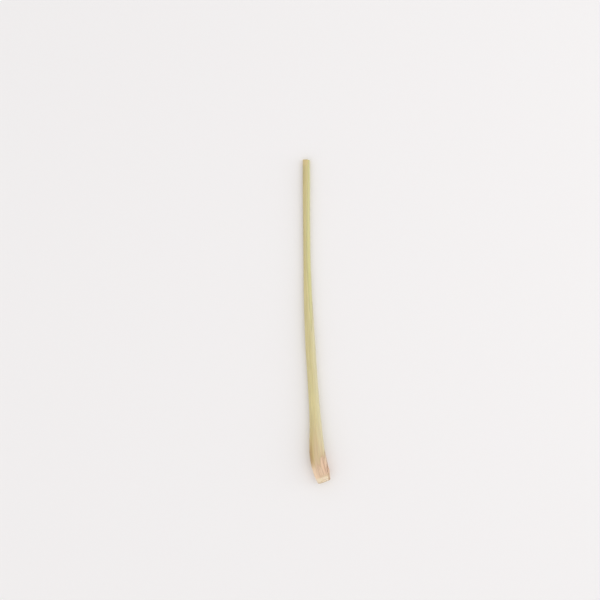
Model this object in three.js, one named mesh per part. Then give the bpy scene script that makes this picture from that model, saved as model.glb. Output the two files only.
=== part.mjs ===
// A trimmed stalk of lemongrass, lying on its side.
//
// The stalk runs along +Y from its root cut to its leaf cut, bends a little in the horizontal plane,
// and rests at z = 0 on three low places of its underside. A short woody culm sits in the root end.
// Three leaf sheaths are rolled round it, one inside the other, each open along one side, and a tight
// roll of young leaves fills the middle. What is left of an older, torn sheath clings to the right of
// the root end.
//
// Each piece is first rolled round a straight upright axis (Y), and settle() then bends that axis,
// makes the round section a low oval, and lays it on the ground.

import * as THREE from 'three';
import { mergeVertices } from 'three/addons/utils/BufferGeometryUtils.js';

// ---------------------------------------------------------------- driving dimensions, millimetres

const LENGTH = 322;              // middle of the root cut to leaf cut

const TIP_HALF_WIDTH = 3.6;      // half the width at the leaf cut
const SHAFT_SWELL = 1.4;         // how much thicker the lower shaft is than the tip
const SHAFT_FADES = [122, 242];  // the stretch over which that is lost
const BULB_SWELL = 3.1;          // how much the root end swells above the lower shaft
const BULB_AT = 15.4;            // where it is widest
const BULB_REACH = 39;
const ROOT_TAPER = 0.8;          // narrowing in the last few millimetres before the root cut
const ROOT_TAPER_REACH = 5;
const LOOSE_SWELL = 0.15;        // the sheaths stand a little looser just below the leaf cut
const LOOSE_AT = 297;
const LOOSE_REACH = 18;

const OVAL = 0.92;               // height of the section over its width
const FLAT = 0.14;               // how far the underside is pressed flat

const BOW = 10.9;                // the slow bow of the whole stalk, sideways
const BOW_REACH = 135.5;
const BOW_OFFSET = -10.26;       // where the leaf cut ends up, sideways
const HOOK_SLOPE = 0.31;         // the root end turns aside by this much for each millimetre
const HOOK_FROM = 22.9;
const HOOK_SOFTNESS = 5;
const WAIST_LIFT = 0.7;          // the stalk lifts off the ground between bulb and shaft
const WAIST = [27, 93];
const LOW_SPOTS = [18, 118, 322]; // it rests on three places: bulb, shaft and leaf cut
const SPOT_RISE = [4.6, 25];     // between these distances from each it rises from the ground
const SPOT_LIFT = 0.42;          // by this much
const CUT_DROP = 1.8;            // how far the slanting root cut reaches past its own middle
const CUT_SLANT = 0.04;          // slant of the root cut against the hooked axis

const SHEATH_THICKNESS = 0.6;    // at the leaf cut
const SHEATH_FLESH = 0.12;       // extra thickness for each millimetre of extra half width
const CLEARANCE = 0.27;          // between one sheath and the next

// ---------------------------------------------------------------- the form of the stalk

const bell = (x) => Math.exp(-x * x);

const ease = (from, to, x) => {
  const t = THREE.MathUtils.clamp((x - from) / (to - from), 0, 1);
  return t * t * (3 - 2 * t);
};

const radians = THREE.MathUtils.degToRad;

// In all that follows, along is the distance from the root cut, and a bearing is an angle round the
// stalk in degrees: 0 to its right (+X), 90 straight up, 180 to its left.

function halfWidth(along) {
  const shaft = SHAFT_SWELL * (1 - ease(...SHAFT_FADES, along));
  const bulb = BULB_SWELL * bell((along - BULB_AT) / BULB_REACH);
  const loose = LOOSE_SWELL * bell((along - LOOSE_AT) / LOOSE_REACH);
  const taper = ROOT_TAPER * Math.exp(-along / ROOT_TAPER_REACH);
  return TIP_HALF_WIDTH + shaft + bulb + loose - taper;
}

const wall = (along) => SHEATH_THICKNESS + SHEATH_FLESH * (halfWidth(along) - TIP_HALF_WIDTH);

// Outer radius of a sheath that has this many others outside it.
const layerRadius = (layer, along) => halfWidth(along) - layer * (wall(along) + CLEARANCE);

function sideways(along) {
  const bow = BOW * bell(along / BOW_REACH);
  const hook = HOOK_SLOPE * HOOK_SOFTNESS * Math.log1p(Math.exp((HOOK_FROM - along) / HOOK_SOFTNESS));
  return BOW_OFFSET + bow + hook;
}

// The cross sections of the root end turn with its hook, in radians.
function hookTurn(along) {
  return Math.atan(HOOK_SLOPE / (1 + Math.exp((along - HOOK_FROM) / HOOK_SOFTNESS)));
}

function height(along) {
  const widest = halfWidth(Math.max(along, BULB_AT));
  const waist = WAIST_LIFT * Math.sin(Math.PI * ease(...WAIST, along)) ** 2;
  const spot = Math.min(...LOW_SPOTS.map((low) => Math.abs(along - low)));
  const lift = Math.max(waist, SPOT_LIFT * ease(...SPOT_RISE, spot));
  return OVAL * (widest - FLAT) + lift;
}

function settle(geometry) {
  const position = geometry.attributes.position;
  for (let i = 0; i < position.count; i += 1) {
    const x = position.getX(i);
    const along = position.getY(i);
    const z = position.getZ(i);
    const pressed = Math.max(z, FLAT - Math.hypot(x, z));
    const turned = hookTurn(along);
    position.setXYZ(
      i,
      sideways(along) + x * Math.cos(turned),
      along - (LENGTH - CUT_DROP) / 2 + x * Math.sin(turned),
      height(along) + OVAL * pressed,
    );
  }
}

// ---------------------------------------------------------------- building blocks

function weld(geometry) {
  geometry.deleteAttribute('normal');
  geometry.deleteAttribute('uv');
  const welded = mergeVertices(geometry, 1e-4);
  welded.computeVertexNormals();
  return welded;
}

function piece(name, geometry, colour, roughness) {
  settle(geometry);
  const material = new THREE.MeshStandardMaterial({ color: colour, roughness, metalness: 0 });
  const mesh = new THREE.Mesh(weld(geometry), material);
  mesh.name = name;
  return mesh;
}

// Cross sections lie close together where the stalk swells and where its outer sheath opens, and far
// apart on the straight shaft.
const sections = [];
for (let along = 6; along < LENGTH - 12; along += along < 44 ? 4 : along < 206 ? 9 : 17) {
  sections.push(along);
}

// A sheath is a slab: x runs round the stalk, y through the wall and z along it. shape(round, through,
// end) gives where each point of the slab goes, as { bearing, radius, along }, from shares of 0 to 1.
function roll(sides, rows, shape) {
  const slab = new THREE.BoxGeometry(1, 1, 1, sides, 1, rows);
  const position = slab.attributes.position;
  for (let i = 0; i < position.count; i += 1) {
    const round = position.getX(i) + 0.5;
    const through = position.getY(i) + 0.5;
    const row = Math.round((position.getZ(i) + 0.5) * rows);
    const { bearing, radius, along } = shape(round, through, row);
    const angle = radians(bearing);
    position.setXYZ(i, radius * Math.cos(angle), along, radius * Math.sin(angle));
  }
  return slab;
}

// ---------------------------------------------------------------- leaf sheaths

const LIP_BEARING = 74;          // where the outer sheath's free margin, its lip, lies
const LIP_WANDER = 4;
const LIP_DRIFT = 24;            // how far it drifts to the left on the upper shaft
const LIP_DRIFT_AT = 225;
const LIP_DRIFT_REACH = 45;
const LIP_RAMP = 35;             // the wall climbs over its other margin in this many degrees

// The outer sheath's foot is a slanting line: it reaches lower on the left of the root end.
const FOOT = 4.8;
const FOOT_DROP = 3;
const footLine = (bearing) => FOOT - FOOT_DROP * ease(0.1, 0.6, -Math.cos(radians(bearing)));

function lipBearing(along) {
  const drift = LIP_DRIFT * bell((along - LIP_DRIFT_AT) / LIP_DRIFT_REACH);
  return LIP_BEARING + LIP_WANDER * Math.sin(along / 31) + drift;
}

// Where its other margin lies. That one is tucked in under the lip on the lower shaft, and then runs
// away from it round the right side, so that the sheath within shows between the two.
const LAP = 35;
const LAP_STARTS = [51, 81];
const FOOT_GAP = 2.5;
const OPEN_BEARING = -12;
const OPENS = [122, 196];

function tuckBearing(along) {
  const lapped = lipBearing(along) - FOOT_GAP + (LAP + FOOT_GAP) * ease(...LAP_STARTS, along);
  return THREE.MathUtils.lerp(lapped, OPEN_BEARING, ease(...OPENS, along));
}

// Degrees by which the outer sheath laps over itself. Below zero it stands open by as much.
const lap = (along) => tuckBearing(along) - lipBearing(along);

// How far the lip is lifted over the other margin, as a share of a wall and a clearance.
const lipLift = (along) => ease(35, 49, along) * (1 - ease(146, 172, along));

// The sheath within swells out to fill the opening, as a share of the same.
const SWELL_RAMP = [5, 20];      // degrees from either margin

function swell(bearing, along) {
  const fromTuck = ease(...SWELL_RAMP, bearing - tuckBearing(along));
  return fromTuck * ease(...SWELL_RAMP, lipBearing(along) - bearing);
}

function outerSheath() {
  const tip = LENGTH;
  const stations = [FOOT, ...sections.filter((s) => s > FOOT + 2), tip];
  return roll(27, stations.length - 1, (round, through, row) => {
    const station = stations[row];
    const turn = round * (360 + lap(station));
    const bearing = lipBearing(station) + turn;
    const along = row === 0 ? footLine(bearing) : station;
    const climb = lipLift(along) * (1 - ease(lap(along), lap(along) + LIP_RAMP, turn));
    const lift = climb * (wall(along) + CLEARANCE);
    const radius = layerRadius(0, along) + lift - (1 - through) * wall(along);
    return { bearing, radius, along };
  });
}

// The sheaths within are open by a narrow slit.
function innerSheath(layer, { sides, foot, tip, slitBearing, slitWidth, fills }) {
  const stations = [foot, ...sections.filter((s) => s > foot + 2), tip];
  return roll(sides, stations.length - 1, (round, through, row) => {
    const along = stations[row];
    const bearing = slitBearing + slitWidth / 2 + round * (360 - slitWidth);
    const swollen = fills ? swell(bearing, along) * (wall(along) + CLEARANCE) : 0;
    const radius = layerRadius(layer, along) + through * swollen - (1 - through) * wall(along);
    return { bearing, radius, along };
  });
}

const SECOND = {
  sides: 26, foot: FOOT + 3.7, tip: LENGTH - 0.8, slitBearing: -112, slitWidth: 9, fills: true,
};
const THIRD = {
  sides: 16, foot: FOOT + 7.7, tip: LENGTH - 0.3, slitBearing: 146, slitWidth: 16, fills: false,
};

// ---------------------------------------------------------------- remnant of an older sheath

const REMNANT_FROM = -52;        // bearings that it covers
const REMNANT_TO = 128;
const REMNANT_FOOT = 7.2;
const REMNANT_TOP = 29.5;        // its torn edge, on the right
const REMNANT_THICKNESS = 0.6;
const REMNANT_CURL = 0.45;       // how far its torn edge curls away from the stalk

// The torn edge: a row of uneven teeth on a line that steps down towards the left and the underside.
function tornEdge(bearing) {
  const left = 4.5 * ease(12, 40, bearing) + 8 * ease(68, 88, bearing) + 3 * ease(88, REMNANT_TO, bearing);
  const under = 9 * ease(-15, REMNANT_FROM, bearing);
  const teeth = 1.3 * Math.sin(bearing / 7.3) + 0.9 * Math.sin(bearing / 3.9 + 1.2);
  return REMNANT_TOP - left - under + teeth;
}

function remnant() {
  const rows = 7;
  return roll(26, rows, (round, through, row) => {
    const bearing = REMNANT_FROM + round * (REMNANT_TO - REMNANT_FROM);
    const share = row / rows;
    const along = THREE.MathUtils.lerp(REMNANT_FOOT, tornEdge(bearing), share);
    const curl = REMNANT_CURL * share ** 3;
    const radius = layerRadius(0, along) + CLEARANCE + curl + through * REMNANT_THICKNESS;
    return { bearing, radius, along };
  });
}

// ---------------------------------------------------------------- lathe-turned pieces

const LATHE_SIDES = 24;

function turn(profile, sides) {
  return new THREE.LatheGeometry(profile.map(([radius, along]) => new THREE.Vector2(radius, along)), sides);
}

// The culm: a trimmed stub with a node ring, stepped in where each sheath is seated on it.
const CULM_STEP = 0.45;          // how far the bare stub stands in from the sheath above it
const CULM_TIP = 30;
const RIM = 0.6;                 // the slanting foot line leaves the rim of the cut as it is
const SEAT_GAP = 0.3;

function culm() {
  const bare = (along) => halfWidth(along) - CULM_STEP;
  const seated = (layers, along) => layerRadius(layers, along) - 0.05;
  const profile = [
    [0, 0],
    [bare(0) - 0.9, 0.05],
    [bare(0) - 0.2, 0.5],
    [bare(1.2), 1.2],
    [bare(2) - 0.22, 2.1],
    [bare(2.5) + 0.05, 2.8],
    [bare(3.5), 3.5],
    [bare(4) - 0.1, FOOT - SEAT_GAP],
    [seated(1, FOOT) - 0.15, FOOT - SEAT_GAP + 0.05],
    [seated(1, 7), FOOT + 2.5],
    [seated(2, 8) - 0.1, FOOT + 3.1],
    [seated(2, 11), FOOT + 6.5],
    [seated(3, 12) - 0.1, FOOT + 7.2],
    [seated(3, 16) * 0.9, 16],
    [seated(3, 22) * 0.6, 22.5],
    [0.9, CULM_TIP - 0.8],
    [0, CULM_TIP],
  ];
  const geometry = turn(profile, LATHE_SIDES);
  const position = geometry.attributes.position;
  for (let i = 0; i < position.count; i += 1) {
    const x = position.getX(i);
    const along = position.getY(i);
    const z = position.getZ(i);
    const bearing = THREE.MathUtils.radToDeg(Math.atan2(z, x));
    const slant = (footLine(bearing) - FOOT) * (1 - ease(FOOT + 0.2, 15.5, along));
    const share = THREE.MathUtils.clamp((along - RIM) / (FOOT - SEAT_GAP - RIM), 0, 1);
    position.setY(i, along + slant * share + CUT_SLANT * x * (1 - share));
  }
  return geometry;
}

// The heart: young leaves rolled so tightly that they are one rod, pointed above the culm.
const HEART_FOOT = 32;
const HEART_TIP = LENGTH - 0.1;

function heart() {
  const radius = (along) => layerRadius(3, along);
  const profile = [[0, HEART_FOOT], [0.8, HEART_FOOT + 0.7], [radius(39) * 0.72, 39]];
  for (const along of sections.filter((s) => s > 43)) {
    profile.push([radius(along), along]);
  }
  profile.push([radius(HEART_TIP), HEART_TIP - 0.25], [radius(HEART_TIP) - 0.25, HEART_TIP], [0, HEART_TIP]);
  return turn(profile, 14);
}

// ---------------------------------------------------------------- the stalk

const stalk = new THREE.Group();
stalk.name = 'lemongrass_stalk';
stalk.add(
  piece('stem_base', culm(), 0xf0dcbc, 0.6),
  piece('old_sheath', remnant(), 0xdab898, 0.7),
  piece('outer_sheath', outerSheath(), 0xd0c48f, 0.5),
  piece('second_sheath', innerSheath(1, SECOND), 0xd8d2a2, 0.45),
  piece('third_sheath', innerSheath(2, THIRD), 0xdcd8ae, 0.45),
  piece('heart', heart(), 0xe2dfb8, 0.45),
);

export default stalk;
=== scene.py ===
"""Lemongrass stalk: the looks of a trimmed stalk that lies on its side.

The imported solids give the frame. Each solid is replaced by a finer piece of the same form: leaf
sheaths with ribs, thin margins and a cut end, the torn remnant of an older sheath, and the root end
of the culm. The stalk runs along +Y from its root cut to its leaf cut.
"""

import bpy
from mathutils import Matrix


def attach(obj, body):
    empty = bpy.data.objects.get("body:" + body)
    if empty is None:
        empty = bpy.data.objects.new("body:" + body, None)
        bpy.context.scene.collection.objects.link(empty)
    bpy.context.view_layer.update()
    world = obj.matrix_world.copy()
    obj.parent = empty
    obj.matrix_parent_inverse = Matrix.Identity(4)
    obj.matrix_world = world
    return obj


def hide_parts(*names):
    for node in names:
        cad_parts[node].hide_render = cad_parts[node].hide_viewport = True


bl_info = {
    "name": "Lemongrass Stalk",
    "version": (1, 0, 0),
    "blender": (4, 5, 0),
    "location": "View3D > Sidebar > Lemongrass",
    "description": "Models and shades a trimmed lemongrass stalk around its packed solids",
    "category": "Mesh",
}

import math

import bmesh
import bpy
from bpy.props import FloatProperty, FloatVectorProperty, IntProperty, PointerProperty
from mathutils import Vector, noise

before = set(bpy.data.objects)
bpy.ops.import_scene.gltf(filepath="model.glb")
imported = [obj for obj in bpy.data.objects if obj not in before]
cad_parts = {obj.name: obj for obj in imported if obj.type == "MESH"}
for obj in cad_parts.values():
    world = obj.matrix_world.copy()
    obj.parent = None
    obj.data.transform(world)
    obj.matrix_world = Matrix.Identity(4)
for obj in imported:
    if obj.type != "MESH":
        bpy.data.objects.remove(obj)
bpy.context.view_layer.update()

MM = 0.001

# ---- the stalk's form, millimetres
# These sizes are those of the solids. A distance along the stalk counts from its root cut. A bearing
# is an angle round it in degrees: 0 to the right (+X), 90 straight up, 180 to the left.

LENGTH = 322
TIP_HALF_WIDTH = 3.6
SHAFT_SWELL, SHAFT_FADES = 1.4, (122, 242)
BULB_SWELL, BULB_AT, BULB_REACH = 3.1, 15.4, 39
LOOSE_SWELL, LOOSE_AT, LOOSE_REACH = 0.15, 297, 18
ROOT_TAPER, ROOT_TAPER_REACH = 0.8, 5
OVAL, FLAT = 0.92, 0.14
BOW, BOW_REACH, BOW_OFFSET = 10.9, 135.5, -10.26
HOOK_SLOPE, HOOK_FROM, HOOK_SOFTNESS = 0.31, 22.9, 5
WAIST_LIFT, WAIST = 0.7, (27, 93)
LOW_SPOTS, SPOT_RISE, SPOT_LIFT = (18, 118, 322), (4.6, 25), 0.42
CUT_DROP, CUT_SLANT = 1.8, 0.04
SHEATH_THICKNESS, SHEATH_FLESH = 0.6, 0.12
LIP_BEARING, LIP_WANDER, LIP_WAVE = 74, 4, 31
LIP_DRIFT, LIP_DRIFT_AT, LIP_DRIFT_REACH = 24, 225, 45
LAP, LAP_STARTS, FOOT_GAP = 35, (51, 81), 2.5
OPEN_BEARING, OPENS = -12, (122, 196)
FOOT, FOOT_DROP, FOOT_DROPS = 4.8, 3.0, (0.1, 0.6)
REMNANT_BEARINGS, REMNANT_FOOT = (-52, 128), 7.2
REMNANT_TOP, REMNANT_CURL = 29.5, 0.45
REMNANT_FALLS = [(4.5, 12, 40), (8, 68, 88), (3, 88, 128), (9, -15, -52)]  # drop, between two bearings
REMNANT_TEETH = [(1.3, 7.3, 0.0), (0.9, 3.9, 1.2)]  # height, width and shift of two rows of waves
CULM_STEP, RIM, SEAT_GAP, SLANT_FADES = 0.45, 0.6, 0.3, (5.0, 15.5)

# ---- sizes of the finer pieces

FINE_SHARE = 0.74  # a finer sheath's wall, as a share of the solid's
FINE_CLEARANCE = 0.06  # between one finer sheath and the next
GRAIN_ROUND = 30.0  # one turn round the stalk counts as this many millimetres of grain
CROWDING = 0.6  # how much closer rows lie near both ends

MARGIN_THIN = 0.2  # a margin's edge, as a share of the wall
EDGE_MET = (-0.6, 0.3)  # the lip climbs the other margin's edge between these distances past it
LIP_TIP = 11  # degrees by which the finer lip strays to the right at the leaf cut
LIP_TIP_REACH = (292, 306)
LIP_FREE = (44, 60)  # where the lip, a smooth seam on the bulb, becomes thin and ragged
LIP_RAGGED = 14  # degrees from the lip over which its raggedness dies out
LIP_TEETH = [(1.1, 4.2, 21.0), (0.5, 1.3, 22.0)]  # height in degrees, length, seed of each row
LIP_RAMP = 35  # the wall comes down again from the lip in this many degrees
SEAM_OPEN = 0.4  # degrees by which the seam on the bulb stands open
SEAM_DIP, SEAM_REACH = 0.18, 0.8  # its edges are thinner by this share, over this width
SWELL_RAMP = (2, 22)  # degrees from either margin of the opening

FOOT_TAPER = 4.0  # length over which a sheath thins out towards its foot
FOOT_THIN = 0.28  # down to this share of its wall
FOOT_SINK = 0.3  # how far its outer skin sinks there, down to the culm
FOOT_REACH = 5.3  # length over which the foot's slant dies out
FOOT_TEETH = [(0.15, 8, 33.0)]  # height, width in degrees, seed of each row

RIB_SWAY = 0.25  # how far a rib strays sideways, in ribs
RIB_EVEN, RIB_UNEVEN = 0.65, 0.6  # a rib's mean strength, and how far it varies
RIB_FAINT, RIB_GROWS = 0.3, (22, 95)  # faint on the fleshy bulb, and growing along the shaft

KNIFE_SHORT = 0.25  # how far the leaf cut stays short of the solid's
KNIFE_SLANT, KNIFE_FACING = 0.12, 150  # its slant, and the bearing where it reaches furthest
KNIFE_ROUGH, KNIFE_REACH = 0.04, 6  # its unevenness, and the length that all of this takes up

FIRST_TURN = 1.05  # turns of the roll within that count as its first
FIRST_WINDING = 0.05  # how far that one winds in, as a share of the roll's radius
WINDING = 0.112  # and each later one
FIRST_WALL, WINDING_WALL = 0.043, 0.1  # the walls of the same turns, likewise
WALL_GROWS = (0.85, 1.1)  # turns between which the one wall becomes the other
ROLL_EDGE, ROLL_MARGIN = 0.3, 1.2  # a margin within: its edge as a share of the wall, its width
SWELL_SHORT = 0.16  # how far the second sheath stays below the outer skin in the opening
SWELL_RIBS = (0.3, 0.9)  # strength of its ribs, under the outer sheath and in the opening
SWELL_SHIFT = 3  # degrees by which they are shifted against those of the outer sheath

TORN_WALL = (0.28, 0.09)  # thickness of the old sheath at its foot and at its torn edge
TORN_MARGIN = (0.3, 1.5)  # its long margins: their edge as a share of that, and their width
TORN_FOOT = (0.35, 2.5)  # its foot, likewise
TORN_GAP, TORN_LEAST = 0.05, 0.02  # its gap to the outer sheath, and the least that dents leave
TORN_CREASE = 0.07  # height of its creases
TORN_TEETH, TORN_FOOT_TEETH = [(1.5, 3.4, 51.0), (0.8, 1.5, 52.0)], [(0.5, 7, 53.0)]
CURL_SHARE = 0.5  # the torn edge's curl, as a share of the solid's
CURL_EVEN, CURL_WAVES = 0.6, [(0.8, 14, 54.0)]  # its even part, and rows of waves on top
# Where it has split along its fibres: bearing, length, and half the width in degrees.
SPLITS = [(13.0, 14.5, 2.6), (47.0, 7.0, 1.6), (-21.0, 8.0, 1.8), (99.0, 4.5, 1.5)]

CUT_ROUGH, SKIN_ROUGH, SKIN_UNEVEN = 0.09, 0.06, 0.16  # heights of the culm's unevenness
CUT_DEPTH = (0.2, 0.6)  # distances along between which that of the cut dies out
SKIN_RADII = (2.0, 6.0)  # radii between which that of the skin grows
SCAR_COUNT, SCAR_START, SCAR_STEP = 12, 13, 31.0  # root scars: the first one's bearing, and a step
SCAR_STRAY = 9.0  # degrees by which they stray from even steps
SCAR_ALONG, SCAR_SCATTER = 1.45, 0.35
SCAR_SIZE, SCAR_HEIGHT, SCAR_PIT = 0.62, 0.13, 0.75
SCAR_RING_FADES, SCAR_PIT_FADES = (0.3, 1.0), (0.0, 0.45)  # in shares of that size
SCAR_RADII = (4.5, 6.0)  # radii between which they begin, off the cut face
SCAR_FACING, SCAR_FAINT = 20, 0.55  # the bearing where they are strongest, their strength elsewhere
SCAR_TURNED = (0.6, 0.95)  # cosines of the turn away from that bearing, between the two strengths
SCARS = [
    (
        SCAR_START + index * SCAR_STEP + SCAR_STRAY * math.sin(index * 5.1),
        SCAR_ALONG + SCAR_SCATTER * math.sin(index * 2.3),
    )
    for index in range(SCAR_COUNT)
]


def bell(x):
    return math.exp(-x * x)


def mix(first, second, share):
    return first + (second - first) * share


def ease(start, end, x):
    share = min(max((x - start) / (end - start), 0.0), 1.0)
    return share * share * (3 - 2 * share)


def half_width(along):
    shaft = SHAFT_SWELL * (1 - ease(*SHAFT_FADES, along))
    bulb = BULB_SWELL * bell((along - BULB_AT) / BULB_REACH)
    loose = LOOSE_SWELL * bell((along - LOOSE_AT) / LOOSE_REACH)
    taper = ROOT_TAPER * math.exp(-along / ROOT_TAPER_REACH)
    return TIP_HALF_WIDTH + shaft + bulb + loose - taper


def fine_wall(along):
    return FINE_SHARE * (SHEATH_THICKNESS + SHEATH_FLESH * (half_width(along) - TIP_HALF_WIDTH))


def sideways(along):
    bow = BOW * bell(along / BOW_REACH)
    hook = HOOK_SLOPE * HOOK_SOFTNESS * math.log1p(math.exp((HOOK_FROM - along) / HOOK_SOFTNESS))
    return BOW_OFFSET + bow + hook


def height(along):
    widest = half_width(max(along, BULB_AT))
    waist = WAIST_LIFT * math.sin(math.pi * ease(*WAIST, along)) ** 2
    spot = min(abs(along - low) for low in LOW_SPOTS)
    return OVAL * (widest - FLAT) + max(waist, SPOT_LIFT * ease(*SPOT_RISE, spot))


def hook_turn(along):
    return math.atan(HOOK_SLOPE / (1 + math.exp((along - HOOK_FROM) / HOOK_SOFTNESS)))


def settled(bearing, radius, along):
    """The place, in metres, of a point at this bearing, radius and distance along the stalk."""
    angle = math.radians(bearing)
    x, z = radius * math.cos(angle), radius * math.sin(angle)
    if abs(radius) > FLAT:
        z = max(z, FLAT - abs(radius))
    turned = hook_turn(along)
    across = sideways(along) + x * math.cos(turned)
    down = along - (LENGTH - CUT_DROP) / 2 + x * math.sin(turned)
    return Vector((across, down, max(height(along) + OVAL * z, 0.0))) * MM


def lip_bearing(along):
    waves = LIP_WANDER * math.sin(along / LIP_WAVE)
    drift = LIP_DRIFT * bell((along - LIP_DRIFT_AT) / LIP_DRIFT_REACH)
    return LIP_BEARING + waves + drift - LIP_TIP * ease(*LIP_TIP_REACH, along)


def tuck_bearing(along):
    lapped = lip_bearing(along) - FOOT_GAP + (LAP + FOOT_GAP) * ease(*LAP_STARTS, along)
    return mix(lapped, OPEN_BEARING, ease(*OPENS, along))


def lap(along):
    """Degrees by which the outer sheath laps over itself. Below zero it stands open by as much."""
    return tuck_bearing(along) - lip_bearing(along)


def lip_lift(along, margin_width):
    """How far the lip is lifted, in walls: by as much as the other margin is thick beneath its edge."""
    beneath = math.radians(lap(along)) * half_width(along)
    return MARGIN_THIN * ease(*EDGE_MET, beneath) + (1 - MARGIN_THIN) * ease(0, margin_width, beneath)


def swell(bearing, along):
    """1 where the sheath within fills the opening of the outer one, and 0 elsewhere."""
    from_tuck = ease(*SWELL_RAMP, bearing - tuck_bearing(along))
    return from_tuck * ease(*SWELL_RAMP, lip_bearing(along) - bearing)


def foot_line(bearing):
    return FOOT - FOOT_DROP * ease(*FOOT_DROPS, -math.cos(math.radians(bearing)))


def torn_edge(bearing):
    fallen = sum(drop * ease(start, end, bearing) for drop, start, end in REMNANT_FALLS)
    teeth = sum(size * math.sin(bearing / width + shift) for size, width, shift in REMNANT_TEETH)
    return REMNANT_TOP - fallen + teeth


def split_edge(bearing):
    """How far the splits cut back the torn edge at this bearing."""
    return sum(length * (1 - ease(0.5 * wide, wide, abs(bearing - at))) for at, length, wide in SPLITS)


def wander(x, y, z):
    """Smooth noise from -1 to 1. Where it varies over x and y only, z is a seed of that use's own."""
    return noise.noise(Vector((x, y, z)))


def ragged(x, teeth):
    """The sum of some rows of teeth along x, each with a height, a width and a seed."""
    return sum(size * wander(x / width, 0.0, seed) for size, width, seed in teeth)


# ---- settings that a user would change


def length_property(name, description, default, least, most):
    """A length, with its default and limits in millimetres."""
    return FloatProperty(
        name=name, description=description, default=default * MM, min=least * MM, max=most * MM,
        unit="LENGTH", precision=5,
    )


def power_property(name, description, default):
    return FloatProperty(name=name, description=description, default=default, unit="POWER")


def colour_property(name, description, default):
    return FloatVectorProperty(
        name=name, description=description, default=default, size=3, min=0.0, max=1.0, subtype="COLOR"
    )


class StalkSettings(bpy.types.PropertyGroup):
    """Sizes of the sheaths' fine relief and margins"""

    rib_count: IntProperty(
        name="Ribs", description="Ribs round each sheath", default=44, min=8, max=90
    )
    rib_depth: length_property("Rib depth", "Depth of the furrows between ribs", 0.055, 0, 0.2)
    margin_width: length_property("Margin width", "Width of a sheath's thin margins", 1.7, 0.2, 4)
    dent_depth: length_property("Dents", "Depth of the sheaths' slow unevenness", 0.11, 0, 0.4)


class FinishSettings(bpy.types.PropertyGroup):
    """Colours of the stalk"""

    straw: colour_property("Straw", "The outer sheath on the lower shaft", (0.675, 0.592, 0.300))
    # On the right side this paler straw is a painted sheen, lighter where the light falls.
    pale: colour_property("Pale straw", "The right side of the lower shaft", (0.710, 0.652, 0.415))
    tan: colour_property("Tan", "The outer sheath on the upper shaft", (0.610, 0.510, 0.245))
    buff: colour_property("Buff", "The outer sheath on the bulb", (0.690, 0.535, 0.310))
    # Olive on the bulb's left is partly its colour and partly painted shade, darker where less light
    # falls.
    olive: colour_property("Olive", "The left side of the bulb", (0.630, 0.495, 0.225))
    peach: colour_property("Peach", "The right of the outer sheath's foot", (0.770, 0.560, 0.370))
    # Pale peach is the peach painted lighter on the left, painted light that makes up for the weaker
    # light there.
    foot: colour_property("Pale peach", "The left of its foot", (0.950, 0.705, 0.485))
    green: colour_property("Yellow green", "The sheath within, where it shows", (0.640, 0.605, 0.265))
    blush: colour_property("Blush", "The older sheath at the root end", (0.765, 0.535, 0.370))
    cream: colour_property("Cream", "The culm", (0.910, 0.750, 0.545))


class StageSettings(bpy.types.PropertyGroup):
    """Camera and lights"""

    lens: FloatProperty(
        name="Lens", description="Focal length in millimetres", default=100.0, min=35.0, max=200.0
    )
    field: length_property("Field", "Width of what the camera sees at the stalk", 600, 50, 2000)
    key_power: power_property("Key light", "Power of the large soft light", 3.9)
    rim_power: power_property("Rim light", "Power of the low light on the right", 3.0)
    fill_power: power_property("Fill light", "Power of the light from the left", 2.2)
    room_light: FloatProperty(name="Room light", description="Light from all round", default=0.83)


def settings():
    scene = bpy.context.scene
    return scene.lemongrass_stalk, scene.lemongrass_finish, scene.lemongrass_stage


# ---- mesh building


def slab(columns, rows):
    """A closed slab. x and y run from 0 to 1 over the grid; z is 0 on the inner skin, 1 on the outer."""
    bm = bmesh.new()
    bmesh.ops.create_grid(bm, x_segments=columns, y_segments=rows, size=0.5)
    bmesh.ops.translate(bm, verts=bm.verts, vec=(0.5, 0.5, 0.0))
    lifted = bmesh.ops.extrude_face_region(bm, geom=bm.faces[:])
    outer = [item for item in lifted["geom"] if isinstance(item, bmesh.types.BMVert)]
    bmesh.ops.translate(bm, verts=outer, vec=(0.0, 0.0, 1.0))
    bmesh.ops.recalc_face_normals(bm, faces=bm.faces[:])
    return bm


CUT = 1  # material slot of the slab's two ends

# The map for baking has the two skins side by side, the long margins in strips to their right, and
# the two ends in strips above.
MAP_START, MAP_LENGTH, MAP_GAP = 0.01, 0.90, 0.005
MAP_SPLIT, MAP_SPLIT_REACH = 0.02, 0.88
MARGIN_STRIPS, MARGIN_STRIP_WIDTH = (0.915, 0.955), 0.03
END_STRIPS, END_STRIP_WIDTH, END_STRIP_LENGTH = (0.925, 0.965), 0.025, 0.97


def sort_faces(bm, inner_share):
    """Lays out the map for baking, and gives the slab's two ends the material of cut flesh.

    inner_share is the inner skin's share of the part that the two skins take up.
    """
    bake = bm.loops.layers.uv.new("OFBake")
    split = MAP_SPLIT + MAP_SPLIT_REACH * (1 - inner_share)
    outer_skin, inner_skin = (MAP_START, split - MAP_GAP), (split + MAP_GAP, MAP_LENGTH)
    for face in bm.faces:
        normal = face.normal
        middle = face.calc_center_median()
        face.smooth = True
        for loop in face.loops:
            x, y, z = loop.vert.co
            if abs(normal.z) > 0.5:
                skin = outer_skin if middle.z > 0.5 else inner_skin
                loop[bake].uv = (mix(*skin, x), MAP_START + MAP_LENGTH * y)
            elif abs(normal.x) > 0.5:
                strip = MARGIN_STRIPS[middle.x > 0.5]
                loop[bake].uv = (strip + MARGIN_STRIP_WIDTH * z, MAP_START + MAP_LENGTH * y)
            else:
                strip = END_STRIPS[middle.y > 0.5]
                loop[bake].uv = (MAP_START + END_STRIP_LENGTH * x, strip + END_STRIP_WIDTH * z)
        if abs(normal.y) > 0.5:
            face.material_index = CUT
    for edge in bm.edges:
        first, second = (face.normal for face in edge.link_faces)
        edge.smooth = first.dot(second) > 0.5


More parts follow.
